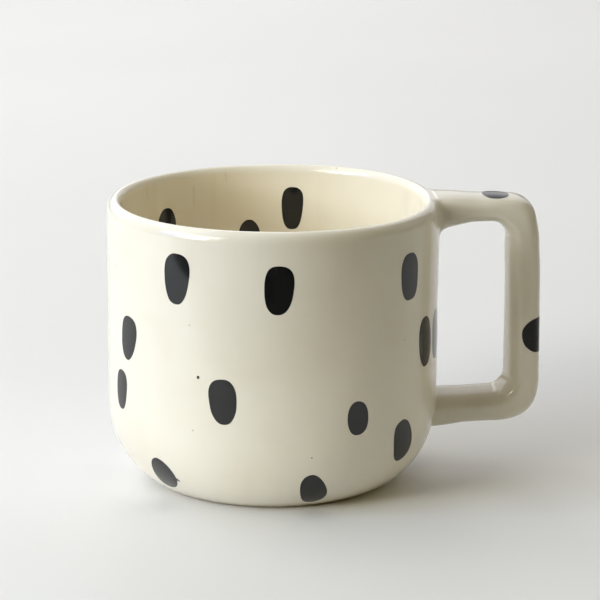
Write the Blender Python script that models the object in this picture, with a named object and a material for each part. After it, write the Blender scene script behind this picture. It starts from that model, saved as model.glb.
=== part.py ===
"""Polka-dot stoneware mug: a straight-sided cup with a generous rounded lower corner, a small flat foot,
and a strap handle joined to the wall by two pads of luting slip. Metres, +Z up. The cup stands on z = 0,
its axis is the Z axis, and the handle points along +X."""

import math

import bmesh
import bpy

MM = 0.001

# ---- cup ----------------------------------------------------------------------------------------------
OUTER_R = 47.5  # outside of the straight wall
HEIGHT = 82.5  # foot to the crest of the lip
LIP_R = 2.0  # the lip is a half round, so the wall there is 4 mm thick
CORNER_A, CORNER_B = 20.75, 25.0  # half axes of the lower corner, an ellipse quarter
CORNER_Z = 24.2  # the corner's centre height; below it the wall turns under
FOOT_R = 32.9  # edge of the flat foot
FOOT_EDGE = 0.35  # the foot's own upright edge
INNER_R = 43.3
INNER_A, INNER_B = 20.0, 23.5
FLOOR_Z = 5.2  # top of the floor in the middle
SEGMENTS = 96

# ---- handle -------------------------------------------------------------------------------------------
STRAP_WIDE = 14.6  # across the strap, along Y
SECTION_POWER = 2.5  # a superellipse: flatter faces than an ellipse, soft edges
SECTION_POINTS = 32
TOP_THICK, POST_THICK, LOW_THICK = 8.3, 9.9, 9.9
CORNERS = ((46.0, 78.4), (72.55, 78.75), (72.75, 20.2), (44.0, 19.4))  # x, z of the strap's middle line
TOP_BEND, LOW_BEND = 10.0, 6.4

# ---- luting slip --------------------------------------------------------------------------------------
GAP = 0.3
SLIP_THICK = 1.8
SLIP_SPREAD = 1.3  # the slip is pressed out this far beyond the strap, where it meets the wall


def clear_scene():
    for obj in list(bpy.data.objects):
        bpy.data.objects.remove(obj, do_unlink=True)
    for mesh in list(bpy.data.meshes):
        bpy.data.meshes.remove(mesh)


def wall_radius(z, out=0.0):
    """Radius of the cup's outside at height z, or of a skin this far outside it."""
    if z < CORNER_Z:
        c = min(1.0, (CORNER_Z - z) / (CORNER_B + out))
        return OUTER_R - CORNER_A + (CORNER_A + out) * math.sqrt(1.0 - c * c)
    rise = z - (HEIGHT - LIP_R)
    if rise > 0.0:
        c = min(1.0, rise / (LIP_R + out))
        return OUTER_R - LIP_R + (LIP_R + out) * math.sqrt(1.0 - c * c)
    return OUTER_R + out


def on_wall(y, z, out):
    """The point of that skin at this y and z, on the handle's side."""
    r = wall_radius(z, out)
    return (math.sqrt(r * r - y * y), y, z)


def cup_profile():
    """(r, z) from the middle of the foot, up the outside, over the lip and down to the middle of the floor."""
    start = math.asin((FOOT_R + 0.25 - (OUTER_R - CORNER_A)) / CORNER_A)
    line = [(0.0, 0.0), (FOOT_R - 0.3, 0.0), (FOOT_R, 0.12)]
    steps = 14
    for i in range(steps + 1):
        t = start + (math.pi / 2 - start) * i / steps
        line.append((OUTER_R - CORNER_A + CORNER_A * math.sin(t), CORNER_Z - CORNER_B * math.cos(t)))
    line.append((OUTER_R, (CORNER_Z + HEIGHT - LIP_R) / 2))
    for i in range(13):
        t = math.pi * i / 12
        line.append((OUTER_R - LIP_R + LIP_R * math.cos(t), HEIGHT - LIP_R + LIP_R * math.sin(t)))
    # The wall thickens a little below the lip, down to the inside corner.
    line.append((INNER_R, HEIGHT - 9.0))
    inner_z = FLOOR_Z + INNER_B
    for i in range(13):
        t = math.pi / 2 * (1 - i / 12)
        line.append((INNER_R - INNER_A + INNER_A * math.sin(t), inner_z - INNER_B * math.cos(t)))
    line.append((0.0, FLOOR_Z - 0.4))
    return line


def mesh_object(name, bm, collection, material):
    bmesh.ops.recalc_face_normals(bm, faces=bm.faces)
    mesh = bpy.data.meshes.new(name)
    bm.to_mesh(mesh)
    bm.free()
    for face in mesh.polygons:
        face.use_smooth = True
    mesh.materials.append(material)
    obj = bpy.data.objects.new(name, mesh)
    collection.objects.link(obj)
    return obj


def revolve(name, profile, collection, material):
    """A closed body turned round the Z axis. The profile's first and last points lie on the axis."""
    bm = bmesh.new()
    low = bm.verts.new((0.0, 0.0, profile[0][1] * MM))
    high = bm.verts.new((0.0, 0.0, profile[-1][1] * MM))
    rings = []
    for r, z in profile[1:-1]:
        ring = []
        for i in range(SEGMENTS):
            a = 2 * math.pi * i / SEGMENTS
            ring.append(bm.verts.new((r * math.cos(a) * MM, r * math.sin(a) * MM, z * MM)))
        rings.append(ring)
    for i in range(SEGMENTS):
        j = (i + 1) % SEGMENTS
        bm.faces.new((low, rings[0][j], rings[0][i]))
        bm.faces.new((high, rings[-1][i], rings[-1][j]))
        for a, b in zip(rings, rings[1:]):
            bm.faces.new((a[i], a[j], b[j], b[i]))
    return mesh_object(name, bm, collection, material)


def skin(name, rings, collection, material):
    """A closed body through these rings, each a list of points in mm, its two ends closed to a middle point."""
    bm = bmesh.new()
    made = [[bm.verts.new((x * MM, y * MM, z * MM)) for x, y, z in ring] for ring in rings[1:-1]]
    count = len(made[0])
    ends = [bm.verts.new(tuple(v * MM for v in rings[k])) for k in (0, -1)]
    for i in range(count):
        j = (i + 1) % count
        bm.faces.new((ends[0], made[0][j], made[0][i]))
        bm.faces.new((ends[1], made[-1][i], made[-1][j]))
        for a, b in zip(made, made[1:]):
            bm.faces.new((a[i], a[j], b[j], b[i]))
    return mesh_object(name, bm, collection, material)


def section(wide, thick):
    """(across, up) of the strap's outline."""
    points = []
    for i in range(SECTION_POINTS):
        t = 2 * math.pi * i / SECTION_POINTS
        c, s = math.cos(t), math.sin(t)
        power = 2.0 / SECTION_POWER
        points.append((
            math.copysign(abs(c) ** power, c) * wide / 2,
            math.copysign(abs(s) ** power, s) * thick / 2,
        ))
    return points


def middle_line():
    """(x, z, tangent x, tangent z) along the strap, its two bends rounded."""
    stations = []
    bends = []
    for k, radius in ((1, TOP_BEND), (2, LOW_BEND)):
        (ax, az), (bx, bz), (cx, cz) = CORNERS[k - 1], CORNERS[k], CORNERS[k + 1]
        ua = ((ax - bx), (az - bz))
        uc = ((cx - bx), (cz - bz))
        la, lc = math.hypot(*ua), math.hypot(*uc)
        ua, uc = (ua[0] / la, ua[1] / la), (uc[0] / lc, uc[1] / lc)
        half = math.acos(ua[0] * uc[0] + ua[1] * uc[1]) / 2
        reach = radius / math.tan(half)
        mid = (ua[0] + uc[0], ua[1] + uc[1])
        lm = math.hypot(*mid)
        centre = (bx + mid[0] / lm * radius / math.sin(half), bz + mid[1] / lm * radius / math.sin(half))
        first = (bx + ua[0] * reach, bz + ua[1] * reach)
        last = (bx + uc[0] * reach, bz + uc[1] * reach)
        a0 = math.atan2(first[1] - centre[1], first[0] - centre[0])
        a1 = math.atan2(last[1] - centre[1], last[0] - centre[0])
        bends.append((centre, radius, a0, a1))
    ends = (51.2, 50.6)  # x where the plain strap begins and ends

    def straight(p, q, count):
        d = math.hypot(q[0] - p[0], q[1] - p[1])
        t = ((q[0] - p[0]) / d, (q[1] - p[1]) / d)
        for i in range(count + 1):
            f = i / count
            stations.append((p[0] + (q[0] - p[0]) * f, p[1] + (q[1] - p[1]) * f, t[0], t[1]))

    def arc(bend, count):
        centre, radius, a0, a1 = bend
        for i in range(1, count):
            a = a0 + (a1 - a0) * i / count
            stations.append((centre[0] + radius * math.cos(a), centre[1] + radius * math.sin(a), math.sin(a), -math.cos(a)))

    def point(bend, a):
        return (bend[0][0] + bend[1] * math.cos(a), bend[0][1] + bend[1] * math.sin(a))

    (x0, z0), (x1, z1) = CORNERS[0], CORNERS[1]
    begin = (ends[0], z0 + (z1 - z0) * (ends[0] - x0) / (x1 - x0))
    (x2, z2), (x3, z3) = CORNERS[2], CORNERS[3]
    finish = (ends[1], z2 + (z3 - z2) * (ends[1] - x2) / (x3 - x2))
    straight(begin, point(bends[0], bends[0][2]), 5)
    arc(bends[0], 10)
    straight(point(bends[0], bends[0][3]), point(bends[1], bends[1][2]), 6)
    arc(bends[1], 8)
    straight(point(bends[1], bends[1][3]), finish, 5)
    return stations


def blend(f):
    f = min(1.0, max(0.0, f))
    return f * f * (3 - 2 * f)


def strap_rings():
    stations = middle_line()
    length = [0.0]
    for a, b in zip(stations, stations[1:]):
        length.append(length[-1] + math.hypot(b[0] - a[0], b[1] - a[1]))
    total = length[-1]
    rings = []
    for (x, z, tx, tz), s in zip(stations, length):
        f = s / total
        thick = TOP_THICK + (POST_THICK - TOP_THICK) * blend((f - 0.16) / 0.16) + (LOW_THICK - POST_THICK) * blend((f - 0.7) / 0.1)
        # Both ends swell towards the wall, more underneath than on top.
        near_top, near_low = blend(1 - s / 9.0), blend(1 - (total - s) / 9.0)
        swell = 1.3 * near_top + 1.1 * near_low
        wide = STRAP_WIDE + 1.4 * max(near_top, near_low)
        nx, nz = -tz, tx  # upwards on the top bar, outwards on the post
        drop = -0.55 * 1.3 * near_top + 0.35 * 1.1 * near_low
        ring = []
        for across, up in section(wide, thick + swell):
            ring.append((x + nx * (up + drop), across, z + nz * (up + drop)))
        rings.append(ring)
    return rings


def to_wall(ring, out, scale=1.0, grow=0.0, top=None):
    """The ring's outline laid onto the skin `out` outside the cup, scaled and grown about its own middle."""
    my = sum(p[1] for p in ring) / len(ring)
    mz = sum(p[2] for p in ring) / len(ring)
    laid = []
    for _, y, z in ring:
        dy, dz = (y - my) * scale, (z - mz) * scale
        far = math.hypot(dy, dz)
        if far > 1e-9:
            dy, dz = dy * (1 + grow / far), dz * (1 + grow / far)
        zz = mz + dz
        if top is not None:
            zz = min(zz, top)
        laid.append(on_wall(my + dy, zz, out))
    return laid, on_wall(my, mz, out)


def build():
    clear_scene()
    collection = bpy.data.collections.new("polka_dot_stoneware_mug")
    bpy.context.scene.collection.children.link(collection)

    def material(name, colour, roughness):
        made = bpy.data.materials.new(name)
        made.use_nodes = True
        shader = made.node_tree.nodes["Principled BSDF"]
        shader.inputs["Base Color"].default_value = (*colour, 1.0)
        shader.inputs["Roughness"].default_value = roughness
        return made

    glaze = material("cream_glaze", (0.80, 0.77, 0.68), 0.12)
    handle_glaze = material("cream_glaze_handle", (0.78, 0.75, 0.66), 0.12)
    slip = material("cream_glaze_over_slip", (0.76, 0.72, 0.62), 0.2)

    revolve("cup_body", cup_profile(), collection, glaze)

    rings = strap_rings()
    first, last = rings[0], rings[-1]
    far = GAP + SLIP_THICK + GAP
    top_limit = HEIGHT + 0.15

    # The strap's two ends are cut to the curve of the wall, a slip's thickness away from it.
    body = []
    end_ring, end_mid = to_wall(first, far, top=top_limit)
    body.append(end_mid)
    for scale in (0.34, 0.68):
        body.append(to_wall(first, far, scale=scale, top=top_limit)[0])
    body.append(end_ring)
    body.extend(rings)
    end_ring, end_mid = to_wall(last, far)
    body.append(end_ring)
    for scale in (0.68, 0.34):
        body.append(to_wall(last, far, scale=scale)[0])
    body.append(end_mid)
    skin("handle", body, collection, handle_glaze)

    # Each pad of slip lies between the wall and one end, and spreads out towards the wall.
    for name, ring, top in (("upper_luting_slip", first, HEIGHT - 0.1), ("lower_luting_slip", last, None)):
        pad = [to_wall(ring, GAP, top=top)[1]]
        for scale in (0.34, 0.68):
            pad.append(to_wall(ring, GAP, scale=scale, top=top)[0])
        for f in (0.0, 0.2, 0.45, 0.7, 1.0):
            spread = SLIP_SPREAD * (1 - math.sin(f * math.pi / 2))
            pad.append(to_wall(ring, GAP + SLIP_THICK * f, grow=spread, top=top)[0])
        for scale in (0.68, 0.34):
            pad.append(to_wall(ring, GAP + SLIP_THICK, scale=scale, top=top)[0])
        pad.append(to_wall(ring, GAP + SLIP_THICK, top=top)[1])
        skin(name, pad, collection, slip)


build()
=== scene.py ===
import math

import bpy
import numpy as np
from mathutils import Matrix, Vector


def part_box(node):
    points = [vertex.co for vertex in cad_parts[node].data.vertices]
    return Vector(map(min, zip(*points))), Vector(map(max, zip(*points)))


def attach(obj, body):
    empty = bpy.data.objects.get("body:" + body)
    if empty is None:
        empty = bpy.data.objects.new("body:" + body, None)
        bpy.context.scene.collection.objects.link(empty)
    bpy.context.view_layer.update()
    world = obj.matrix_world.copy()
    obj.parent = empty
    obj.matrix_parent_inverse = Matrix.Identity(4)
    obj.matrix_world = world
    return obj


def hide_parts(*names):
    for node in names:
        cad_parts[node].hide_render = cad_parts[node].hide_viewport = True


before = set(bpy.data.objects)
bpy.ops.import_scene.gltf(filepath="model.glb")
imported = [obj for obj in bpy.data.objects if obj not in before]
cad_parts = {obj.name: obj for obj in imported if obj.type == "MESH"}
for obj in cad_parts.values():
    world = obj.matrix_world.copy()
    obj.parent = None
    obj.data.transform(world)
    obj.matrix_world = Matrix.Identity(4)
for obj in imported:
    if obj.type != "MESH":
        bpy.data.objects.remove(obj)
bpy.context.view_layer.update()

MM = 0.001
# The cup's measures come from the CAD nodes' own boxes; the rest repeats part.py, in millimetres.
cup_lo, cup_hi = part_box("cup_body")
strap_lo, strap_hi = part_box("handle")
R = cup_hi.x / MM  # outside of the straight wall
H = cup_hi.z / MM  # crest of the lip
REACH = strap_hi.x / MM  # outside of the strap
CORNER_A, CORNER_B, CORNER_Z = 20.75, 25.0, 24.2
FOOT_R = 32.9
INNER_R, INNER_A, INNER_B, FLOOR_Z = 43.3, 20.0, 23.5, 5.2
LIP_OUT_A, LIP_OUT_B = 2.5, 3.4  # the lip's outer shoulder is rounder than its inner one
LIP_IN_A, LIP_IN_B = 1.7, 2.3


# ------------------------------------------------------------------ the cup's skin, as one function
def smooth(t):
    t = np.clip(t, 0.0, 1.0)
    return t * t * (3 - 2 * t)


def corner(r0, a, b, zc, start, stop, count):
    t = np.linspace(start, stop, count)
    return np.c_[r0 + a * np.sin(t), zc - b * np.cos(t)]


def outer_line():
    """(r, z) from the glaze line at the foot to the crest of the lip."""
    start = math.asin((FOOT_R + 0.35 - (R - CORNER_A)) / CORNER_A)
    low = corner(R - CORNER_A, CORNER_A, CORNER_B, CORNER_Z, start, math.pi / 2, 44)
    wall = np.c_[np.full(31, R), np.linspace(CORNER_Z, H - LIP_OUT_B, 31)][1:]
    t = np.linspace(0, math.pi / 2, 22)[1:]
    lip = np.c_[R - LIP_OUT_A + LIP_OUT_A * np.cos(t), H - LIP_OUT_B + LIP_OUT_B * np.sin(t)]
    return np.vstack([low, wall, lip])


def inner_line():
    """(r, z) from the crest of the lip to the middle of the floor."""
    t = np.linspace(0, math.pi / 2, 18)
    crest = R - LIP_OUT_A
    lip = np.c_[crest - LIP_IN_A * np.sin(t), H - LIP_IN_B + LIP_IN_B * np.cos(t)]
    wall = np.c_[np.full(27, INNER_R), np.linspace(H - LIP_IN_B, FLOOR_Z + INNER_B, 27)][1:]
    low = corner(INNER_R - INNER_A, INNER_A, INNER_B, FLOOR_Z + INNER_B, math.pi / 2, 0.0, 34)[1:]
    r = np.linspace(INNER_R - INNER_A, 0.0, 13)[1:]
    floor = np.c_[r, FLOOR_Z - 0.35 * smooth(1 - r / (INNER_R - INNER_A))]
    return np.vstack([lip, wall, low, floor])


def lengths(line):
    return np.r_[0.0, np.cumsum(np.hypot(*np.diff(line, axis=0).T))]


OUT, INN = outer_line(), inner_line()
OUT_S, INN_S = lengths(OUT), lengths(INN)


def unevenness(theta, z, inside=False):
    """How far the hand-thrown wall strays from round, in mm. It dies away at the lip and at the foot."""
    body = smooth(z / 18.0) * smooth((H - z) / 10.0)
    slow = 0.10 * np.sin(2 * theta + 0.7) + 0.07 * np.sin(3 * theta + 1.9)
    rings = 0.06 * np.sin(z * 0.21 + 0.9 * np.sin(theta + 0.4)) + 0.035 * np.sin(z * 0.47 + 0.6 * np.sin(2 * theta))
    side = 0.20 * smooth(np.cos(theta)) * (z - 48.0) / 30.0
    value = slow + rings + side
    if inside:
        value = 0.5 * slow + 0.10 * np.sin(z * 0.33 + theta) * smooth((z - 10) / 20)
    return value * body


def lip_wave(theta, z):
    """The lip isn't quite level: it rises and falls a little round the cup."""
    lift = 0.14 + 0.29 * np.sin(theta) + 0.24 * np.sin(2 * theta - 0.16) + 0.17 * np.sin(3 * theta - 0.1)
    return lift * smooth((z - (H - 16.0)) / 16.0)


def on_outside(theta, s, proud=0.0):
    """Point of the outside at angle theta (radians) and arc length s above the glaze line, `proud` mm above it."""
    theta, s = np.broadcast_arrays(np.asarray(theta, float), np.asarray(s, float))
    r, z = np.interp(s, OUT_S, OUT[:, 0]), np.interp(s, OUT_S, OUT[:, 1])
    d = 0.05
    dr = np.interp(s + d, OUT_S, OUT[:, 0]) - np.interp(s - d, OUT_S, OUT[:, 0])
    dz = np.interp(s + d, OUT_S, OUT[:, 1]) - np.interp(s - d, OUT_S, OUT[:, 1])
    norm = np.hypot(dr, dz)
    nr, nz = dz / norm, -dr / norm
    rr = r + unevenness(theta, z) * nr + proud * nr
    zz = z + lip_wave(theta, z) + proud * nz
    return np.stack([rr * np.cos(theta), rr * np.sin(theta), zz], -1)


def on_inside(theta, s, proud=0.0):
    """Point of the inside at angle theta and arc length s down from the crest."""
    theta, s = np.broadcast_arrays(np.asarray(theta, float), np.asarray(s, float))
    r, z = np.interp(s, INN_S, INN[:, 0]), np.interp(s, INN_S, INN[:, 1])
    d = 0.05
    dr = np.interp(s + d, INN_S, INN[:, 0]) - np.interp(s - d, INN_S, INN[:, 0])
    dz = np.interp(s + d, INN_S, INN[:, 1]) - np.interp(s - d, INN_S, INN[:, 1])
    norm = np.hypot(dr, dz)
    nr, nz = dz / norm, -dr / norm
    fade = np.where(z > H - 6.0, smooth((H - z) / 6.0), 1.0)
    rr = r + unevenness(theta, z, True) * nr * fade + proud * nr
    zz = z + lip_wave(theta, z) + proud * nz
    return np.stack([rr * np.cos(theta), rr * np.sin(theta), zz], -1)


# ------------------------------------------------------------------ mesh helpers
def make_mesh(name, points, faces, uvs=None, slots=None, materials=(), sharp=()):
    """points in mm. uvs is one (u, v) for each corner of each face, in order."""
    mesh = bpy.data.meshes.new(name)
    mesh.from_pydata([tuple(p) for p in np.asarray(points) * MM], [], faces)
    if uvs is not None:
        layer = mesh.uv_layers.new(name="OFBake")
        layer.data.foreach_set("uv", np.asarray(uvs, np.float32).ravel())
    for m in materials:
        mesh.materials.append(m)
    if slots is not None:
        mesh.polygons.foreach_set("material_index", np.asarray(slots, np.int32))
    mesh.polygons.foreach_set("use_smooth", np.ones(len(mesh.polygons), bool))
    mesh.update()
    if sharp:
        wanted = {tuple(sorted(e)) for e in sharp}
        flags = [tuple(sorted(e.vertices)) in wanted for e in mesh.edges]
        mesh.attributes.new("sharp_edge", "BOOLEAN", "EDGE").data.foreach_set("value", flags)
    obj = bpy.data.objects.new(name, mesh)
    bpy.context.scene.collection.objects.link(obj)
    return obj


class Patchwork:
    """Collects faces with their own UVs and material slots."""

    def __init__(self):
        self.points, self.faces, self.uvs, self.slots, self.sharp = [], [], [], [], []

    def add_points(self, pts):
        first = len(self.points)
        self.points.extend(map(tuple, pts))
        return list(range(first, first + len(pts)))

    def face(self, ids, uv, slot=0):
        self.faces.append(tuple(ids))
        self.uvs.extend(uv)
        self.slots.append(slot)

    def band(self, low, high, v0, v1, slot=0, u0=0.0, u1=1.0):
        n = len(low)
        for i in range(n):
            j = (i + 1) % n
            a, b = u0 + (u1 - u0) * i / n, u0 + (u1 - u0) * (i + 1) / n
            self.face((low[i], low[j], high[j], high[i]), ((a, v0), (b, v0), (b, v1), (a, v1)), slot)

    def make(self, name, materials):
        return make_mesh(name, self.points, self.faces, self.uvs, self.slots, materials, self.sharp)


# ------------------------------------------------------------------ materials
def new_material(name):
    m = bpy.data.materials.new(name)
    m.use_nodes = True
    nodes, links = m.node_tree.nodes, m.node_tree.links
    shader = nodes["Principled BSDF"]
    return m, nodes, links, shader


def noise(nodes, links, vector, scale, detail=2.0, rough=0.5, distort=0.0):
    n = nodes.new("ShaderNodeTexNoise")
    n.inputs["Scale"].default_value = scale
    n.inputs["Detail"].default_value = detail
    n.inputs["Roughness"].default_value = rough
    n.inputs["Distortion"].default_value = distort
    links.new(vector, n.inputs["Vector"])
    return n.outputs["Fac"]


def ramp(nodes, links, fac, stops):
    r = nodes.new("ShaderNodeValToRGB")
    r.color_ramp.interpolation = "EASE"
    while len(r.color_ramp.elements) < len(stops):
        r.color_ramp.elements.new(0.5)
    for e, (pos, colour) in zip(r.color_ramp.elements, stops):
        e.position = pos
        e.color = (*colour, 1.0)
    links.new(fac, r.inputs["Fac"])
    return r.outputs["Color"]


def map_range(nodes, links, value, lo, hi, to_lo=0.0, to_hi=1.0, kind="SMOOTHSTEP"):
    n = nodes.new("ShaderNodeMapRange")
    n.interpolation_type = kind
    n.inputs["From Min"].default_value = lo
    n.inputs["From Max"].default_value = hi
    n.inputs["To Min"].default_value = to_lo
    n.inputs["To Max"].default_value = to_hi
    links.new(value, n.inputs["Value"])
    return n.outputs["Result"]


def math_node(nodes, links, op, a, b=None):
    n = nodes.new("ShaderNodeMath")
    n.operation = op
    for k, v in enumerate((a, b)):
        if v is None:
            continue
        if isinstance(v, (int, float)):
            n.inputs[k].default_value = v
        else:
            links.new(v, n.inputs[k])
    return n.outputs[0]


def mix_colour(nodes, links, fac, a, b, blend="MIX"):
    n = nodes.new("ShaderNodeMix")
    n.data_type = "RGBA"
    n.blend_type = blend
    if isinstance(fac, (int, float)):
        n.inputs[0].default_value = fac
    else:
        links.new(fac, n.inputs[0])
    for k, v in ((6, a), (7, b)):
        if isinstance(v, tuple):
            n.inputs[k].default_value = (*v, 1.0)
        else:
            links.new(v, n.inputs[k])
    return n.outputs[2]


CREAM = (0.815, 0.770, 0.655)
CREAM_LIGHT = (0.845, 0.805, 0.705)
CREAM_DEEP = (0.765, 0.705, 0.575)
TAN = (0.66, 0.55, 0.39)
# painted highlight: the pale tone laid over the lip's crest, where the light from above catches it
LIP_HIGHLIGHT_TONE = (0.90, 0.86, 0.76)


def glaze_material(name, has_lip=True, tint_and_painted_light=(1.0, 1.0, 1.0), run_depth=0.22):
    """Cream glaze: cloudy, yellowish variation, a painted highlight that pales the lip's crest, tan where it thins
    above the foot, thicker runs down the walls. Its colour scale gives a real tint to the runs and painted light to the
    inside and strap copies.
    """
    cream, light, deep = (tuple(c * w for c, w in zip(tone, tint_and_painted_light)) for tone in (CREAM, CREAM_LIGHT, CREAM_DEEP))
    m, nodes, links, shader = new_material(name)
    coord = nodes.new("ShaderNodeTexCoord").outputs["Object"]
    xyz = nodes.new("ShaderNodeSeparateXYZ")
    links.new(coord, xyz.inputs[0])
    cloud = noise(nodes, links, coord, 28.0, 3.0, 0.55, 0.4)
    base = ramp(nodes, links, cloud, ((0.30, deep), (0.50, cream), (0.72, light)))
    base = mix_colour(nodes, links, 0.45, base, cream)
    # runs: the same noise stretched along the axis
    stretch = nodes.new("ShaderNodeMapping")
    stretch.inputs["Scale"].default_value = (130.0, 130.0, 9.0)
    links.new(coord, stretch.inputs["Vector"])
    runs = noise(nodes, links, stretch.outputs[0], 1.0, 2.0, 0.5)
    run_fac = map_range(nodes, links, runs, 0.56, 0.74, 0.0, run_depth)
    base = mix_colour(nodes, links, run_fac, base, deep)
    if has_lip:
        # painted highlight: the lip's crest is made paler, standing in for the light it catches from above; the glaze
        # thins to tan just above the foot
        wander = noise(nodes, links, coord, 60.0, 2.0)
        top = math_node(nodes, links, "ADD", xyz.outputs[2], math_node(nodes, links, "MULTIPLY", wander, 0.0012))
        lip = map_range(nodes, links, top, (H - 1.7) * MM, (H + 0.3) * MM, 0.0, 0.7)
        base = mix_colour(nodes, links, lip, base, LIP_HIGHLIGHT_TONE)
        foot = map_range(nodes, links, xyz.outputs[2], 0.0026, 0.0007, 0.0, 0.55)
        base = mix_colour(nodes, links, foot, base, TAN)
    # iron specks, few and small
    cells = nodes.new("ShaderNodeTexVoronoi")
    cells.inputs["Scale"].default_value = 190.0
    links.new(coord, cells.inputs["Vector"])
    near = map_range(nodes, links, cells.outputs["Distance"], 0.085, 0.045, 0.0, 1.0)
    few = map_range(nodes, links, noise(nodes, links, coord, 46.0, 1.0), 0.655, 0.675, 0.0, 0.3)
    base = mix_colour(nodes, links, math_node(nodes, links, "MULTIPLY", near, few), base, (0.22, 0.14, 0.08))
    links.new(base, shader.inputs["Base Color"])
    rough = noise(nodes, links, coord, 70.0, 2.0)
    links.new(map_range(nodes, links, rough, 0.3, 0.7, 0.08, 0.14, "LINEAR"), shader.inputs["Roughness"])
    shader.inputs["IOR"].default_value = 1.52
    # a slow ripple in the glaze, with a trace of pinholes
    ripple = noise(nodes, links, coord, 55.0, 1.0, 0.4)
    fine = noise(nodes, links, coord, 420.0, 1.0, 0.4)
    height = math_node(nodes, links, "ADD", ripple, math_node(nodes, links, "MULTIPLY", fine, 0.035))
    bump = nodes.new("ShaderNodeBump")
    bump.inputs["Strength"].default_value = 0.35
    bump.inputs["Distance"].default_value = 0.00035
    links.new(height, bump.inputs["Height"])
    links.new(bump.outputs[0], shader.inputs["Normal"])
    return m


def dot_material(name, gloss=0.5):
    """Black underglaze seen through the clear coat, which is thinner and duller on the strap."""
    m, nodes, links, shader = new_material(name)
    shader.inputs["Specular IOR Level"].default_value = gloss
    coord = nodes.new("ShaderNodeTexCoord").outputs["Object"]
    brush = nodes.new("ShaderNodeMapping")
    brush.inputs["Scale"].default_value = (420.0, 420.0, 130.0)
    links.new(coord, brush.inputs["Vector"])
    strokes = noise(nodes, links, brush.outputs[0], 1.0, 3.0, 0.6)
    base = ramp(nodes, links, strokes, ((0.3, (0.0075, 0.0078, 0.0080)), (0.62, (0.0125, 0.0125, 0.0125)), (0.8, (0.021, 0.020, 0.018))))
    links.new(base, shader.inputs["Base Color"])
    rough = noise(nodes, links, coord, 70.0, 2.0)
    links.new(map_range(nodes, links, rough, 0.3, 0.7, 0.08, 0.14, "LINEAR"), shader.inputs["Roughness"])
    shader.inputs["IOR"].default_value = 1.52
    ripple = noise(nodes, links, coord, 55.0, 1.0, 0.4)
    bump = nodes.new("ShaderNodeBump")
    bump.inputs["Strength"].default_value = 0.35
    bump.inputs["Distance"].default_value = 0.00035
    links.new(ripple, bump.inputs["Height"])
    links.new(bump.outputs[0], shader.inputs["Normal"])
    return m


def clay_material():
    """The bare fired foot: buff, dry and slightly gritty."""
    m, nodes, links, shader = new_material("bare_stoneware")
    coord = nodes.new("ShaderNodeTexCoord").outputs["Object"]
    cloud = noise(nodes, links, coord, 60.0, 4.0, 0.6)
    base = ramp(nodes, links, cloud, ((0.3, (0.44, 0.33, 0.23)), (0.55, (0.54, 0.43, 0.31)), (0.8, (0.62, 0.52, 0.40))))
    grit = noise(nodes, links, coord, 1500.0, 2.0, 0.6)
    base = mix_colour(nodes, links, map_range(nodes, links, grit, 0.62, 0.72, 0.0, 0.6), base, (0.25, 0.17, 0.11))
    links.new(base, shader.inputs["Base Color"])
    links.new(map_range(nodes, links, grit, 0.3, 0.7, 0.78, 0.92, "LINEAR"), shader.inputs["Roughness"])
    bump = nodes.new("ShaderNodeBump")
    bump.inputs["Strength"].default_value = 0.6
    bump.inputs["Distance"].default_value = 0.00012
    links.new(grit, bump.inputs["Height"])
    links.new(bump.outputs[0], shader.inputs["Normal"])
    return m


GLAZE = glaze_material("cream_glaze")
# painted light: this copy of the glaze is lightened and yellowed to stand in for the light bounced round inside the
# cup; its runs are deeper
GLAZE_INSIDE = glaze_material("cream_glaze_inside", tint_and_painted_light=(1.095, 1.070, 1.02), run_depth=0.5)
# painted shade: the strap's copy of the glaze is darkened a little
STRAP_GLAZE = glaze_material("cream_glaze_strap", has_lip=False, tint_and_painted_light=(0.937, 0.939, 0.935))
RUN_GLAZE = glaze_material("cream_glaze_runs", has_lip=False, tint_and_painted_light=(1.02, 0.985, 0.92), run_depth=0.3)
DOTS = dot_material("black_underglaze")
STRAP_BLACK = dot_material("black_underglaze_strap", 0.2)
CLAY = clay_material()


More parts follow.
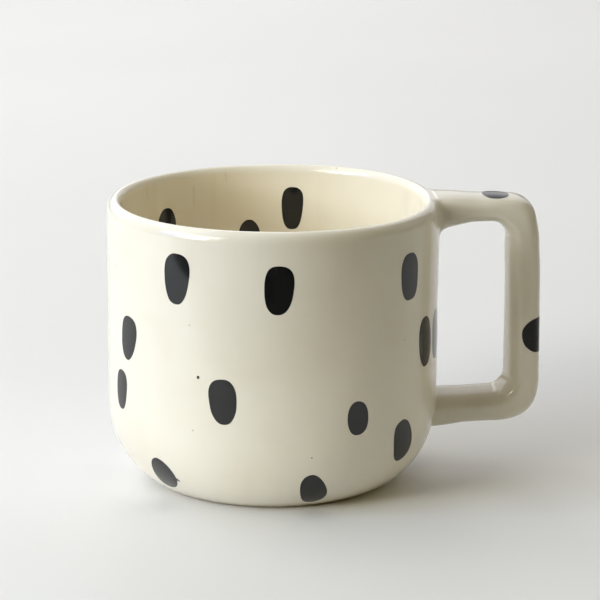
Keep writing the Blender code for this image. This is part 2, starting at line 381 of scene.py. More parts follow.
# ------------------------------------------------------------------ the cup
def build_cup():
    n = 384
    theta = np.linspace(0, 2 * math.pi, n, endpoint=False)
    work = Patchwork()
    scale = 1.0 / (2 * math.pi * R)  # UV units per mm, the same all over

    def ring(points):
        return work.add_points(points)

    # foot: bare clay, a flat disc with a softened edge
    disc_r = [6.0, 12.0, 18.0, 24.0, 29.0, 31.6, 32.4, 32.75, 32.9, 32.92, 33.08]
    disc_z = [0.0, 0.0, 0.0, 0.0, 0.0, 0.0, 0.04, 0.14, 0.26, 0.38, 0.40]
    cx, cy = 0.12, 0.86
    centre = work.add_points([(0, 0, 0)])[0]

    def disc_uv(r, i, cx=cx, cy=cy):
        a = 2 * math.pi * i / n
        return (cx + r * scale * math.cos(a), cy + r * scale * math.sin(a))

    previous, r_before = None, 0.0
    for r, z in zip(disc_r, disc_z):
        ids = ring(np.c_[r * np.cos(theta), r * np.sin(theta), np.full(n, z)])
        for i in range(n):
            j = (i + 1) % n
            if previous is None:
                work.face((centre, ids[j], ids[i]), (disc_uv(0, 0), disc_uv(r, i + 1), disc_uv(r, i)), 1)
            else:
                work.face(
                    (previous[i], previous[j], ids[j], ids[i]),
                    (disc_uv(r_before, i), disc_uv(r_before, i + 1), disc_uv(r, i + 1), disc_uv(r, i)),
                    1,
                )
        previous, r_before = ids, r

    # outside, glaze line to crest
    v = 0.01
    before_s = None
    for k, s in enumerate(OUT_S):
        if k == len(OUT_S) - 1:
            pts = on_outside(theta, s - 1e-6)
        else:
            pts = on_outside(theta, s)
        ids = ring(pts)
        v1 = 0.01 + s * scale
        work.band(previous, ids, v if before_s is not None else v - 0.001, v1, 0)
        previous, v, before_s = ids, v1, s
    # inside, crest to floor
    v_crest = v
    flat_from = len(INN_S) - 13
    for k, s in enumerate(INN_S[1 : flat_from + 1], 1):
        ids = ring(on_inside(theta, s))
        v1 = v_crest + s * scale
        work.band(previous, ids, v, v1, 2)
        previous, v = ids, v1
    fx = 0.40
    r_before = INN[flat_from, 0]
    for k in range(flat_from + 1, len(INN_S)):
        r = INN[k, 0]
        if r < 1e-6:
            c = work.add_points(on_inside(np.array([0.0]), INN_S[k]))[0]
            for i in range(n):
                j = (i + 1) % n
                work.face(
                    (previous[i], previous[j], c),
                    (disc_uv(r_before, i, fx), disc_uv(r_before, i + 1, fx), disc_uv(0, 0, fx)),
                    2,
                )
        else:
            ids = ring(on_inside(theta, INN_S[k]))
            for i in range(n):
                j = (i + 1) % n
                work.face(
                    (previous[i], previous[j], ids[j], ids[i]),
                    (disc_uv(r_before, i, fx), disc_uv(r_before, i + 1, fx), disc_uv(r, i + 1, fx), disc_uv(r, i, fx)),
                    2,
                )
            previous, r_before = ids, r
    return work.make("cup", (GLAZE, CLAY, GLAZE_INSIDE))


# ------------------------------------------------------------------ the strap handle
POWER = 3.0  # squarer than an ellipse: flat faces, soft edges
TOP_THICK, POST_THICK, LOW_THICK = 7.8, 9.6, 9.3
STRAP_WIDE = 15.0
CORNERS = ((46.6, 78.5), (72.65, 78.8), (72.85, 20.2), (44.8, 19.45))
TOP_BEND, LOW_BEND = 10.0, 8.6


def strap_path():
    """(x, z, tx, tz) along the strap's middle line, evenly spaced."""
    pieces = []
    bends = []
    for k, radius in ((1, TOP_BEND), (2, LOW_BEND)):
        a, b, c = (np.array(CORNERS[q]) for q in (k - 1, k, k + 1))
        ua, uc = (a - b) / np.linalg.norm(a - b), (c - b) / np.linalg.norm(c - b)
        half = math.acos(ua @ uc) / 2
        mid = (ua + uc) / np.linalg.norm(ua + uc)
        centre = b + mid * radius / math.sin(half)
        p, q = b + ua * radius / math.tan(half), b + uc * radius / math.tan(half)
        bends.append((centre, radius, math.atan2(*(p - centre)[::-1]), math.atan2(*(q - centre)[::-1])))
        pieces.append((p, q))

    def line(p, q, n):
        f = np.linspace(0, 1, n)[:, None]
        return np.array(p) * (1 - f) + np.array(q) * f

    def arc(bend, n):
        a = np.linspace(bend[2], bend[3], n)
        return np.c_[bend[0][0] + bend[1] * np.cos(a), bend[0][1] + bend[1] * np.sin(a)]

    pts = np.vstack([
        line(CORNERS[0], pieces[0][0], 40)[:-1],
        arc(bends[0], 40)[:-1],
        line(pieces[0][1], pieces[1][0], 80)[:-1],
        arc(bends[1], 32)[:-1],
        line(pieces[1][1], CORNERS[3], 40),
    ])
    s = np.r_[0, np.cumsum(np.hypot(*np.diff(pts, axis=0).T))]
    even = np.linspace(0, s[-1], 240)
    x, z = np.interp(even, s, pts[:, 0]), np.interp(even, s, pts[:, 1])
    for _ in range(6):  # ease the change from straight to bend
        x[1:-1] = (x[:-2] + 2 * x[1:-1] + x[2:]) / 4
        z[1:-1] = (z[:-2] + 2 * z[1:-1] + z[2:]) / 4
    t = np.c_[np.gradient(x), np.gradient(z)]
    t /= np.linalg.norm(t, axis=1)[:, None]
    return np.c_[x, z, t], even


PATH, PATH_S = strap_path()
TOTAL = PATH_S[-1]


def on_strap(s, psi, proud=0.0):
    """Point of the strap's skin at length s along its middle line and section angle psi:
    0 is the +Y edge, 90 degrees the top (or outer) face."""
    s, psi = np.broadcast_arrays(np.asarray(s, float), np.asarray(psi, float))
    x, z = np.interp(s, PATH_S, PATH[:, 0]), np.interp(s, PATH_S, PATH[:, 1])
    tx, tz = np.interp(s, PATH_S, PATH[:, 2]), np.interp(s, PATH_S, PATH[:, 3])
    n = np.hypot(tx, tz)
    tx, tz = tx / n, tz / n
    nx, nz = -tz, tx
    f = s / TOTAL
    thick = TOP_THICK + (POST_THICK - TOP_THICK) * smooth((f - 0.18) / 0.16) + (LOW_THICK - POST_THICK) * smooth((f - 0.7) / 0.1)
    near_top, near_low = smooth(1 - (s - 1.0) / 11.0), smooth(1 - (TOTAL - s - 2.0) / 10.0)
    thick = thick + 1.5 * near_top + 0.9 * near_low + 0.10 * np.sin(s * 0.16 + 1.0)
    wide = STRAP_WIDE + 1.0 * np.maximum(near_top, near_low) + 0.22 * np.sin(s * 0.11 + 0.5)
    lean = 0.18 * np.sin(s * 0.07 + 2.0)
    drop = -0.5 * near_top + 0.30 * near_low
    # the outside of each bend is pinched squarer than the path, and the inside is smoothed over
    corner_fill = 2.1 * np.exp(-(((s - 23.9) / 3.5) ** 2)) + 1.2 * np.exp(-(((s - 78.5) / 4.0) ** 2))
    corner_fill = corner_fill - 0.1 * smooth((s - 66.0) / 10.0)
    corner_fill = corner_fill - 0.4 * np.exp(-(((s - 14.3) / 5.0) ** 2)) - 0.25 * np.exp(-(((s - 34.0) / 4.0) ** 2))
    inner_fill = 0.3 * np.exp(-(((s - 23.9) / 4.0) ** 2)) + 0.25 * np.exp(-(((s - 78.5) / 4.0) ** 2)) - 0.25 * smooth((s - 34.0) / 12.0)
    c, d = np.cos(psi), np.sin(psi)
    # rounder along the post and the low bar, flatter where the strap meets the cup
    power = POWER - 0.3 * smooth((s - 30.0) / 20.0) + 0.8 * near_top
    e = 2.0 / power
    across = np.sign(c) * np.abs(c) ** e
    up = np.sign(d) * np.abs(d) ** e
    # the section's outward direction, for standing proud of it
    ga = np.sign(across) * np.abs(across) ** (power - 1) / (wide / 2)
    gu = np.sign(up) * np.abs(up) ** (power - 1) / (thick / 2)
    g = np.hypot(ga, gu)
    a = across * wide / 2 + lean + proud * ga / g
    u = up * thick / 2 + drop + corner_fill * smooth((up + 0.3) / 1.2) - inner_fill * smooth((0.3 - up) / 1.2) + proud * gu / g
    # the strap twists a little on its way down
    twist = -math.radians(6.5) * smooth((s - 18.0) / 66.0)
    a, u = a * np.cos(twist) - u * np.sin(twist), u * np.cos(twist) + a * np.sin(twist)
    return np.stack([x + nx * u, a, z + nz * u], -1)


def build_strap():
    sections = 112
    psi = np.linspace(0, 2 * math.pi, sections, endpoint=False)
    rows = np.linspace(0.0, TOTAL, 230)
    work = Patchwork()
    scale = 1.0 / 190.0
    girth = 42.0
    previous = None
    for s in rows:
        ids = work.add_points(on_strap(np.full(sections, s), psi))
        if previous is not None:
            # the strap's length runs up the image, once
            v0, v1 = 0.02 + before * scale, 0.02 + s * scale
            for i in range(sections):
                j = (i + 1) % sections
                a, b = 0.02 + girth * scale * i / sections, 0.02 + girth * scale * (i + 1) / sections
                work.face((previous[i], previous[j], ids[j], ids[i]), ((a, v0), (b, v0), (b, v1), (a, v1)))
        else:
            first = ids
        previous, before = ids, s
    for ids, s, x0 in ((first, 0.0, 0.4), (previous, TOTAL, 0.6)):
        mid = work.add_points([on_strap(np.array([s, s]), np.array([0, math.pi])).mean(0)])[0]
        for i in range(sections):
            j = (i + 1) % sections
            pa, pb = 2 * math.pi * i / sections, 2 * math.pi * (i + 1) / sections
            uv = ((x0, 0.1), (x0 + 0.04 * math.cos(pb), 0.1 + 0.04 * math.sin(pb)), (x0 + 0.04 * math.cos(pa), 0.1 + 0.04 * math.sin(pa)))
            if s == 0.0:
                work.face((mid, ids[j], ids[i]), uv)
            else:
                work.face((mid, ids[i], ids[j]), (uv[0], uv[2], uv[1]))
    return work.make("strap_handle", (STRAP_GLAZE,))


# ------------------------------------------------------------------ the luting slip, smoothed by the potter's thumb
def arc_of_height(z):
    """Arc length on the outside at height z; past the crest it runs on over the lip."""
    z = np.asarray(z, float)
    low = np.interp(np.minimum(z, H - LIP_OUT_B), OUT[:, 1], OUT_S)
    return low + np.maximum(z - (H - LIP_OUT_B), 0.0)


def build_slip(name, lower):
    """A fillet from the wall to the strap, tangent to both, closed behind both surfaces."""
    count, steps = 96, 18
    psi = np.linspace(0, 2 * math.pi, count, endpoint=False)
    up = np.sin(psi)  # 1 on top of the strap, -1 underneath
    if lower:
        stand = 4.0 + 0.8 * np.clip(-up, 0, 1)  # how far along the strap each line of the fillet reaches
        spread = 2.9 + 0.5 * np.clip(-up, 0, 1)
        sign = -1.0
    else:
        stand = 4.0 + 1.6 * np.clip(-up, 0, 1) + 2.6 * np.clip(up, 0, 1)
        spread = 2.7 + 1.4 * np.clip(-up, 0, 1) - 0.8 * np.clip(up, 0, 1)
        sign = 1.0
    # lengths along the strap where its own skin stands that far from the wall
    grid = np.linspace(0, 16, 161)
    s_end = np.empty(count)
    for i, p in enumerate(psi):
        along = grid if not lower else TOTAL - grid
        pts = on_strap(along, np.full(161, p))
        wall_r = np.interp(arc_of_height(pts[:, 2]), OUT_S, OUT[:, 0])
        out = np.hypot(pts[:, 0], pts[:, 1]) - wall_r
        s_end[i] = np.interp(stand[i], out, grid)
    for _ in range(8):
        s_end = (np.roll(s_end, 1) + 2 * s_end + np.roll(s_end, -1)) / 4
    s_at = s_end if not lower else TOTAL - s_end
    p3 = on_strap(s_at, psi, 0.02)
    ahead = on_strap(s_at - sign * 0.4, psi, 0.02)
    t3 = ahead - p3
    t3 /= np.linalg.norm(t3, axis=1)[:, None]
    # where the section lands on the wall, and further out by the spread
    theta = np.arcsin(np.clip(p3[:, 1] / R, -1, 1))
    arc = arc_of_height(p3[:, 2])
    mid_theta, mid_arc = theta.mean(), (arc.max() + arc.min()) / 2
    du, dv = (theta - mid_theta) * R, arc - mid_arc
    # outward normal of the outline on the unrolled wall
    tu, tv = np.roll(du, -1) - np.roll(du, 1), np.roll(dv, -1) - np.roll(dv, 1)
    length = np.hypot(tu, tv)
    nu, nv = tv / length, -tu / length
    for _ in range(3):
        nu = (np.roll(nu, 1) + 2 * nu + np.roll(nu, -1)) / 4
        nv = (np.roll(nv, 1) + 2 * nv + np.roll(nv, -1)) / 4
    length = np.hypot(nu, nv)
    nu, nv = nu / length, nv / length
    top_arc = OUT_S[-1] - 0.02
    wu, wv = du + nu * spread, dv + nv * spread
    w_arc = np.minimum(mid_arc + wv, top_arc)
    w_theta = mid_theta + wu / R
    p0 = on_outside(w_theta, w_arc, 0.02)
    inward = on_outside(w_theta - nu * 0.3 / R, np.minimum(w_arc - nv * 0.3, top_arc), 0.02)
    t0 = inward - p0
    t0 /= np.maximum(np.linalg.norm(t0, axis=1), 1e-9)[:, None]
    reach = np.linalg.norm(p3 - p0, axis=1)[:, None]
    p1 = p0 + t0 * reach * 0.46
    p2 = p3 + t3 * reach * 0.46
    work = Patchwork()
    rings = []
    # behind the wall
    behind = on_outside(w_theta, w_arc, -0.9)
    rings.append(behind)
    for k in range(steps + 1):
        t = k / steps
        pts = (1 - t) ** 3 * p0 + 3 * (1 - t) ** 2 * t * p1 + 3 * (1 - t) * t * t * p2 + t**3 * p3
        rings.append(pts)
    centre = on_strap(s_at, psi).mean(0)
    rings.append(p3 + (centre - p3) * 0.12)
    ids = [work.add_points(r) for r in rings]
    for rim in (ids[1], ids[-2]):
        work.sharp.extend((rim[i], rim[(i + 1) % count]) for i in range(count))
    caps = [work.add_points([rings[0].mean(0)])[0], work.add_points([rings[-1].mean(0)])[0]]
    scale = 1.0 / 60.0
    arc_v = 0.02
    for k, (a, b) in enumerate(zip(ids, ids[1:])):
        step = float(np.linalg.norm(rings[k + 1] - rings[k], axis=1).mean()) * scale
        for i in range(count):
            j = (i + 1) % count
            ua, ub = 0.02 + 0.9 * i / count, 0.02 + 0.9 * (i + 1) / count
            quad = (a[i], a[j], b[j], b[i])
            uv = ((ua, arc_v), (ub, arc_v), (ub, arc_v + step), (ua, arc_v + step))
            if lower:
                quad, uv = quad[::-1], uv[::-1]
            work.face(quad, uv)
        arc_v += step
    for cap, ring_ids, x0, flip in ((caps[0], ids[0], 0.2, False), (caps[1], ids[-1], 0.6, True)):
        for i in range(count):
            j = (i + 1) % count
            pa, pb = 2 * math.pi * i / count, 2 * math.pi * (i + 1) / count
            tri = (cap, ring_ids[j], ring_ids[i])
            uv = ((x0, 0.75), (x0 + 0.15 * math.cos(pb), 0.75 + 0.15 * math.sin(pb)), (x0 + 0.15 * math.cos(pa), 0.75 + 0.15 * math.sin(pa)))
            if flip != lower:
                tri, uv = tri[::-1], uv[::-1]
            work.face(tri, uv)
    return work.make(name, (STRAP_GLAZE,))


# ------------------------------------------------------------------ brushed dots
def dot_outline(a, b, n, taper, tilt, skew=0.0, wobble=0.0, seed=0, count=72):
    """(u, v) in mm round a loaded-brush dab: a superellipse, wider at the top when taper is above 0."""
    t = np.linspace(0, 2 * math.pi, count, endpoint=False)
    c, s = np.cos(t), np.sin(t)
    u = np.sign(c) * np.abs(c) ** (2 / n)
    v = np.sign(s) * np.abs(s) ** (2 / n)
    edge = 1 + wobble * (np.sin(3 * t + seed) + 0.6 * np.sin(5 * t + 2.3 * seed) + 0.4 * np.sin(8 * t + 1.7 * seed))
    x = (a * u * (1 + taper * v) + skew * b * v * v) * edge
    y = b * v * edge
    r = math.radians(tilt)
    return np.c_[x * math.cos(r) - y * math.sin(r), x * math.sin(r) + y * math.cos(r)]


def add_dot(work, surface, outline, flip=False):
    """Lays the outline and its inner rings on a surface(u, v) function."""
    n = len(outline)
    levels = [0.2, 0.4, 0.58, 0.74, 0.87, 0.95, 1.0]
    centre = work.add_points(surface(np.zeros(1), np.zeros(1)))[0]
    ids = [work.add_points(surface(outline[:, 0] * f, outline[:, 1] * f)) for f in levels]
    span = np.abs(outline).max() * 2.2
    cell = add_dot.cell
    add_dot.cell += 1
    ox, oy = (cell % 6) / 6 + 1 / 12, (cell // 6) / 6 + 1 / 12

    def uv(f, k):
        return (ox + outline[k % n, 0] * f / span / 6, oy + outline[k % n, 1] * f / span / 6)

    for i in range(n):
        j = (i + 1) % n
        tri, t_uv = (centre, ids[0][i], ids[0][j]), ((ox, oy), uv(levels[0], i), uv(levels[0], i + 1))
        if flip:
            tri, t_uv = tri[::-1], t_uv[::-1]
        work.face(tri, t_uv)
        for k in range(len(levels) - 1):
            quad = (ids[k][i], ids[k + 1][i], ids[k + 1][j], ids[k][j])
            q_uv = (uv(levels[k], i), uv(levels[k + 1], i), uv(levels[k + 1], i + 1), uv(levels[k], i + 1))
            if flip:
                quad, q_uv = quad[::-1], q_uv[::-1]
            work.face(quad, q_uv)


PROUD = 0.03
# outside: angle (degrees), arc length above the glaze line, half width, half height, squareness, taper, tilt, skew
OUTSIDE = [
    (-129.8, 73.2, 4.05, 7.2, 2.55, 0.17, -3.7, 0.0),
    (-93.9, 71.8, 4.05, 6.85, 2.6, 0.12, -3.9, 0.0),
    (-42.2, 71.2, 4.05, 6.85, 2.6, 0.05, 2.0, 0.0),
    (-154.4, 52.6, 4.0, 6.4, 2.35, 0.20, -7.7, 0.0),
    (-160.0, 36.6, 3.3, 5.8, 2.5, 0.11, -4.9, 0.0),
    (-112.9, 39.7, 4.0, 6.5, 2.4, 0.11, 4.4, 0.0),
    (-65.8, 33.7, 3.4, 4.9, 2.25, -0.02, 2.7, 0.0),
    (-43.9, 23.5, 4.25, 6.6, 2.5, -0.03, 16.8, 0.0),
    (-141.0, 13.0, 4.8, 6.3, 2.0, 0.14, -21.9, -0.17),
    (-80.4, 11.3, 4.2, 6.8, 2.4, -0.20, 20.8, 0.0),
    (-30.3, 50.3, 4.4, 7.3, 2.3, 0.0, 3.0, 0.0),
    (-17.8, 50.0, 4.2, 7.2, 2.4, 0.05, -3.0, 0.0),
    # the side away from the camera, in the same loose rows
    (18.5, 46.0, 4.1, 6.8, 2.4, 0.10, 4.0, 0.0),
    (27.0, 72.4, 4.0, 6.9, 2.5, 0.08, -2.0, 0.0),
    (63.0, 73.4, 4.2, 7.0, 2.5, 0.14, 3.0, 0.0),
    (101.0, 71.5, 3.9, 6.7, 2.6, 0.12, -4.5, 0.0),
    (137.0, 73.0, 4.1, 7.1, 2.4, 0.10, 2.0, 0.0),
    (171.5, 72.0, 4.0, 6.8, 2.5, 0.16, -1.5, 0.0),
    (45.0, 27.5, 3.9, 6.3, 2.4, 0.05, 8.0, 0.0),
    (82.0, 45.5, 4.1, 6.5, 2.4, 0.12, -3.0, 0.0),
    (119.5, 50.0, 3.8, 6.3, 2.3, 0.08, 5.0, 0.0),
    (158.0, 46.5, 4.2, 6.7, 2.5, 0.15, -5.0, 0.0),
    (97.0, 16.0, 4.1, 6.5, 2.3, -0.10, -14.0, 0.0),
    (134.0, 25.0, 3.9, 6.4, 2.4, 0.06, 9.0, 0.0),
    (172.0, 17.5, 4.0, 6.2, 2.3, -0.08, 12.0, 0.0),
    (10.0, 9.5, 4.0, 6.2, 2.3, -0.15, -10.0, 0.0),
]
# inside: angle, arc length down from the crest, the same shape numbers
INSIDE = [
    (76.2, 13.6, 3.15, 6.3, 2.8, 0.15, -2.5, 0.0),
    (130.4, 17.2, 3.9, 6.6, 2.2, -0.05, 0.0, 0.0),
    (93.3, 23.6, 3.5, 6.6, 2.2, 0.0, 0.0, 0.0),
    (38.0, 27.0, 4.0, 6.5, 2.5, 0.10, 4.0, 0.0),
    (165.0, 30.0, 3.9, 6.4, 2.4, 0.12, -3.0, 0.0),
    (-158.0, 15.0, 4.0, 6.6, 2.5, 0.12, 3.0, 0.0),
    (-120.0, 24.0, 4.1, 6.6, 2.4, 0.10, -4.0, 0.0),
    (-84.0, 14.5, 3.8, 6.4, 2.5, 0.14, 2.0, 0.0),
    (-47.0, 25.5, 4.0, 6.5, 2.4, 0.08, 5.0, 0.0),
    (-8.0, 28.0, 4.1, 6.6, 2.4, 0.10, -2.0, 0.0),
    (112.0, 50.0, 3.9, 6.2, 2.4, 0.05, 6.0, 0.0),
    (58.0, 54.0, 4.0, 6.3, 2.4, 0.05, -5.0, 0.0),
    (-30.0, 56.0, 4.0, 6.3, 2.4, 0.05, 4.0, 0.0),
    (-100.0, 52.0, 3.9, 6.2, 2.4, 0.05, -6.0, 0.0),
    (-170.0, 57.0, 4.0, 6.3, 2.4, 0.05, 5.0, 0.0),
]
# strap: length along it, section angle (degrees), half width across, half height along, squareness, tilt
STRAP = [
    (17.15, 90.5, 4.8, 2.95, 2.2, 0.0),
    (59.1, 134.0, 6.0, 5.2, 2.2, 0.0),
    (41.0, 60.0, 4.0, 4.6, 2.2, -5.0),
    (88.0, 78.0, 4.2, 4.8, 2.2, 4.0),
]


def build_outside_dots():
    work = Patchwork()
    add_dot.cell = 0
    for k, (deg, s0, a, b, n, taper, tilt, skew) in enumerate(OUTSIDE):
        th0 = math.radians(deg)
        line = dot_outline(a, b, n, taper, tilt, skew, 0.006, k * 1.3)

        def surface(u, v, th0=th0, s0=s0):
            # a dot's width is an angle, so it narrows where the corner turns in
            return on_outside(th0 + u / R, s0 + v, PROUD)

        add_dot(work, surface, line)
    # a brush's stray tick beside the lowest left dot, and two spatters
    for deg, s0, a, b, tilt in ((-135.4, 13.1, 0.5, 1.6, 52.0), (-121.6, 46.1, 0.42, 0.45, 0.0), (-82.6, 23.6, 0.16, 0.18, 0.0), (71.0, 60.0, 0.35, 0.4, 0.0), (150.0, 33.0, 0.3, 0.34, 0.0)):
        th0 = math.radians(deg)
        line = dot_outline(a, b, 2.0, 0.0, tilt)

        def surface(u, v, th0=th0, s0=s0):
            r = np.interp(s0 + v, OUT_S, OUT[:, 0])
            return on_outside(th0 + u / r, s0 + v, PROUD)

        add_dot(work, surface, line)
    return work.make("outside_dots", (DOTS,))


def build_inside_dots():
    work = Patchwork()
    add_dot.cell = 0
    for k, (deg, s0, a, b, n, taper, tilt, skew) in enumerate(INSIDE):
        th0 = math.radians(deg)
        line = dot_outline(a, b, n, taper, tilt, skew, 0.006, 5 + k * 1.7)

        def surface(u, v, th0=th0, s0=s0):
            s = s0 - v
            r = np.interp(s, INN_S, INN[:, 0])
            return on_inside(th0 - u / np.maximum(r, 15.0), s, PROUD)

        add_dot(work, surface, line)
    return work.make("inside_dots", (DOTS,))


# faint runs in the glaze below the rim: angle round the axis, length down from the rim, half width, half height, tilt
RUNS = [
    (142.0, 4.9, 0.36, 2.4, 9.0),
    (116.7, 8.6, 0.42, 3.5, 2.0),
    (102.7, 3.7, 0.38, 1.7, 7.0),
    (-38.0, 6.5, 0.40, 3.0, -3.0),
]


def build_glaze_runs():
    work = Patchwork()
    add_dot.cell = 0
    for k, (deg, s0, a, b, tilt) in enumerate(RUNS):
        th0 = math.radians(deg)
        line = dot_outline(a, b, 2.0, 0.1, tilt, 0.0, 0.006, 3 + k)

        def surface(u, v, th0=th0, s0=s0):
            s = s0 - v
            r = np.interp(s, INN_S, INN[:, 0])
            return on_inside(th0 - u / np.maximum(r, 15.0), s, 0.6 * PROUD)

        add_dot(work, surface, line)
    return work.make("glaze_runs", (RUN_GLAZE,))


def strap_angle_of(offset, s, psi0):
    """Section angles at these distances (mm, along the section's outline) from psi0."""
    grid = np.linspace(psi0 - 2.2, psi0 + 2.2, 221)
    pts = on_strap(np.full(221, s), grid)
    run = np.r_[0, np.cumsum(np.linalg.norm(np.diff(pts, axis=0), axis=1))]
    run -= np.interp(psi0, grid, run)
    return np.interp(offset, run, grid)


def build_strap_dots():
    work = Patchwork()
    add_dot.cell = 0
    for k, (s0, deg, a, b, n, tilt) in enumerate(STRAP):
        psi0 = math.radians(deg)
        line = dot_outline(a, b, n, 0.05, tilt, 0.0, 0.008, 2 + k)

        def surface(u, v, s0=s0, psi0=psi0):
            return on_strap(s0 - v, strap_angle_of(u, s0, psi0), 2 * PROUD)

        add_dot(work, surface, line, flip=True)
    return work.make("strap_dots", (STRAP_BLACK,))


cup = build_cup()
strap = build_strap()
upper_slip = build_slip("upper_slip_joint", False)
lower_slip = build_slip("lower_slip_joint", True)
outside_dots = build_outside_dots()
inside_dots = build_inside_dots()
strap_dots = build_strap_dots()
glaze_runs = build_glaze_runs()

for piece, slot_name in (
    (cup, "cream_glaze"),
    (outside_dots, "cream_glaze"),
    (inside_dots, "cream_glaze"),
    (glaze_runs, "cream_glaze"),
    (strap, "handle_glaze"),
    (strap_dots, "handle_glaze"),
    (upper_slip, "slip_glaze"),
    (lower_slip, "slip_glaze"),
):
    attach(piece, "root")
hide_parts("cup_body")
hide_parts("handle")
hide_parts("upper_luting_slip")
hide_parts("lower_luting_slip")

# ------------------------------------------------------------------ table, light and camera
TURN = math.radians(6.0)  # the handle points this far away from the camera's right


def around(azimuth, elevation=0.0, distance=1.0):
    """A point round the cup: azimuth -90 is towards the camera, 180 to the camera's left."""
    a, e = math.radians(azimuth) - TURN, math.radians(elevation)
    return Vector((math.cos(a) * math.cos(e), math.sin(a) * math.cos(e), math.sin(e))) * distance


def build_table():
    """A pale matt table top that runs far back and stops a hand's breadth in front of the cup."""
    nx, ny = 60, 60
    xs = np.linspace(-2.2, 2.2, nx)
    ys = -0.18 + (np.linspace(0, 1, ny) ** 2.0) * 3.6
    c, s = math.cos(TURN), math.sin(TURN)
    pts, faces = [], []
    for y in ys:
        for x in xs:
            lift = 0.9 * max(0.0, (y - 2.2) / 1.2) ** 2
            pts.append((x * c + y * s, -x * s + y * c, lift))
    for j in range(ny - 1):
        for i in range(nx - 1):
            a = j * nx + i
            faces.append((a, a + 1, a + nx + 1, a + nx))
    mesh = bpy.data.meshes.new("table")
    mesh.from_pydata(pts, [], faces)
    mesh.polygons.foreach_set("use_smooth", np.ones(len(faces), bool))
    mesh.update()
    obj = bpy.data.objects.new("table", mesh)
    bpy.context.scene.collection.objects.link(obj)
    m, nodes, links, shader = new_material("table_white")
    coord = nodes.new("ShaderNodeTexCoord").outputs["Object"]
    cloud = noise(nodes, links, coord, 3.0, 2.0)
    links.new(ramp(nodes, links, cloud, ((0.3, (0.80, 0.80, 0.80)), (0.7, (0.83, 0.83, 0.83)))), shader.inputs["Base Color"])
    shader.inputs["Roughness"].default_value = 0.7
    mesh.materials.append(m)


build_table()


def area_light(name, azimuth, elevation, size, strength):
    """A square soft box 1.25 m from the cup. strength is its radiance in red, green and blue."""
    data = bpy.data.lights.new(name, "AREA")
    data.shape = "SQUARE"
    data.size = size
    top = max(strength)
    data.color = [c / top for c in strength]
    data.energy = math.pi * size * size * top
    obj = bpy.data.objects.new(name, data)
    aim = Vector((0, 0, 0.045))
    obj.location = around(azimuth, elevation, 1.25) + aim
    obj.rotation_mode = "QUATERNION"
    obj.rotation_quaternion = (aim - obj.location).to_track_quat("-Z", "Y")
    bpy.context.scene.collection.objects.link(obj)
    return obj


# the key: a low window to the left and a little in front, cooler towards its far end
area_light("window_glint", -145.6, 11.5, 0.10, (26.0, 26.0, 26.0))
area_light("window_low_1", -134.0, 14.0, 0.30, (2.1, 2.0, 1.0))
area_light("window_low_2", -142.0, 14.0, 0.30, (12.6, 12.7, 11.7))
area_light("window_low_3", -150.0, 14.0, 0.30, (5.7, 6.4, 6.7))
area_light("window_low_4", -158.0, 14.0, 0.30, (0.1, 0.7, 2.9))
area_light("window_low_5", -168.0, 14.0, 0.30, (0.2, 0.7, 3.0))
area_light("window_high_1", -134.0, 28.0, 0.30, (8.6, 8.4, 7.4))
area_light("window_high_2", -150.0, 28.0, 0.30, (6.3, 6.5, 6.3))
area_light("window_high_3", -166.0, 28.0, 0.30, (5.2, 6.3, 7.7))
# ceiling bounce, and large dim panels for the pale walls behind and to the right
area_light("above_left", -165.0, 50.0, 0.6, (1.8, 1.88, 1.87))
area_light("above_front", -120.0, 50.0, 0.6, (0.107, 0.04, 0.01))
area_light("above_back_left", 150.0, 55.0, 0.6, (2.43, 2.37, 2.19))
area_light("above_back", 90.0, 60.0, 0.6, (0.20, 0.15, 0.09))
area_light("wall_left", 150.0, 25.0, 1.0, (0.365, 0.38, 0.43))
area_light("wall_back_left", 115.0, 30.0, 1.0, (1.34, 1.335, 1.345))
area_light("wall_back", 75.0, 30.0, 1.0, (0.97, 0.98, 1.03))
area_light("wall_right", 30.0, 30.0, 1.0, (0.36, 0.355, 0.375))

# the room: soft patches of light, each (azimuth, elevation, radiance)
ROOM = [
    (-90.0, 38.0, (0.083, 0.065, 0.005)),
    (-45.0, 20.0, (0.110, 0.062, 0.005)),
    (0.0, 20.0, (0.379, 0.373, 0.232)),
    (45.0, 20.0, (0.022, 0.010, 0.001)),
    (0.0, 88.0, (0.454, 0.455, 0.438)),
]


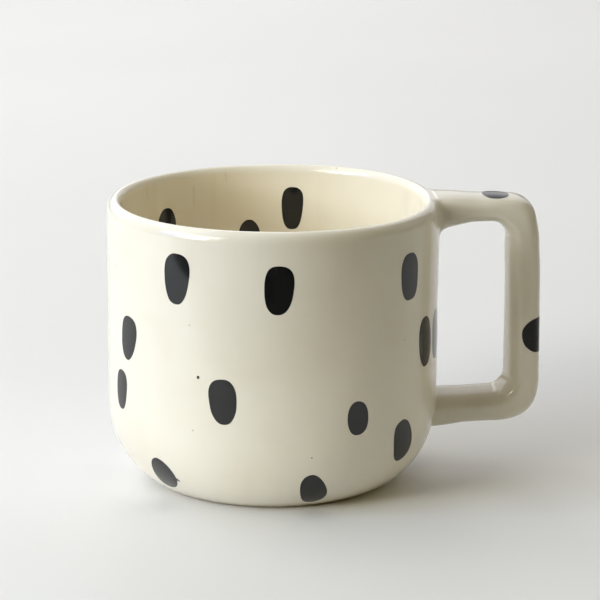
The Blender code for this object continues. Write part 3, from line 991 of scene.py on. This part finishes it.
def build_world():
    world = bpy.data.worlds.new("studio")
    bpy.context.scene.world = world
    world.use_nodes = True
    nodes, links = world.node_tree.nodes, world.node_tree.links
    back = nodes["Background"]
    coord = nodes.new("ShaderNodeTexCoord").outputs["Generated"]
    unit = nodes.new("ShaderNodeVectorMath")
    unit.operation = "NORMALIZE"
    links.new(coord, unit.inputs[0])
    total = None
    for azimuth, elevation, colour in ROOM:
        dot = nodes.new("ShaderNodeVectorMath")
        dot.operation = "DOT_PRODUCT"
        links.new(unit.outputs[0], dot.inputs[0])
        dot.inputs[1].default_value = around(azimuth, elevation)
        fac = map_range(nodes, links, dot.outputs["Value"], math.cos(math.radians(42.0)), 1.0)
        patch = nodes.new("ShaderNodeVectorMath")
        patch.operation = "SCALE"
        patch.inputs[0].default_value = colour
        links.new(fac, patch.inputs["Scale"])
        if total is None:
            total = patch.outputs[0]
        else:
            add = nodes.new("ShaderNodeVectorMath")
            links.new(total, add.inputs[0])
            links.new(patch.outputs[0], add.inputs[1])
            total = add.outputs[0]
    links.new(total, back.inputs["Color"])
    back.inputs["Strength"].default_value = 1.0


build_world()

camera_data = bpy.data.cameras.new("camera")
camera = bpy.data.objects.new("camera", camera_data)
bpy.context.scene.collection.objects.link(camera)
bpy.context.scene.camera = camera
camera_data.sensor_width = 36.0
camera_data.lens = 197.8
camera_data.clip_start, camera_data.clip_end = 0.02, 20.0
YAW, PITCH, ROLL = math.radians(0.49) + TURN, math.radians(14.01), math.radians(0.11)
camera.location = around(-90.0, 0.0, 0.922) + Vector((0, 0, 0.2823))
forward = Vector((math.sin(YAW) * math.cos(PITCH), math.cos(YAW) * math.cos(PITCH), -math.sin(PITCH)))
right = Vector((math.cos(YAW), -math.sin(YAW), 0.0))
up = right.cross(forward)
right, up = right * math.cos(ROLL) + up * math.sin(ROLL), up * math.cos(ROLL) - right * math.sin(ROLL)
camera.rotation_mode = "QUATERNION"
camera.rotation_quaternion = Matrix((
    (right.x, up.x, -forward.x),
    (right.y, up.y, -forward.y),
    (right.z, up.z, -forward.z),
)).to_quaternion()

settings = bpy.context.scene.view_settings
settings.view_transform = "Standard"
settings.look = "None"
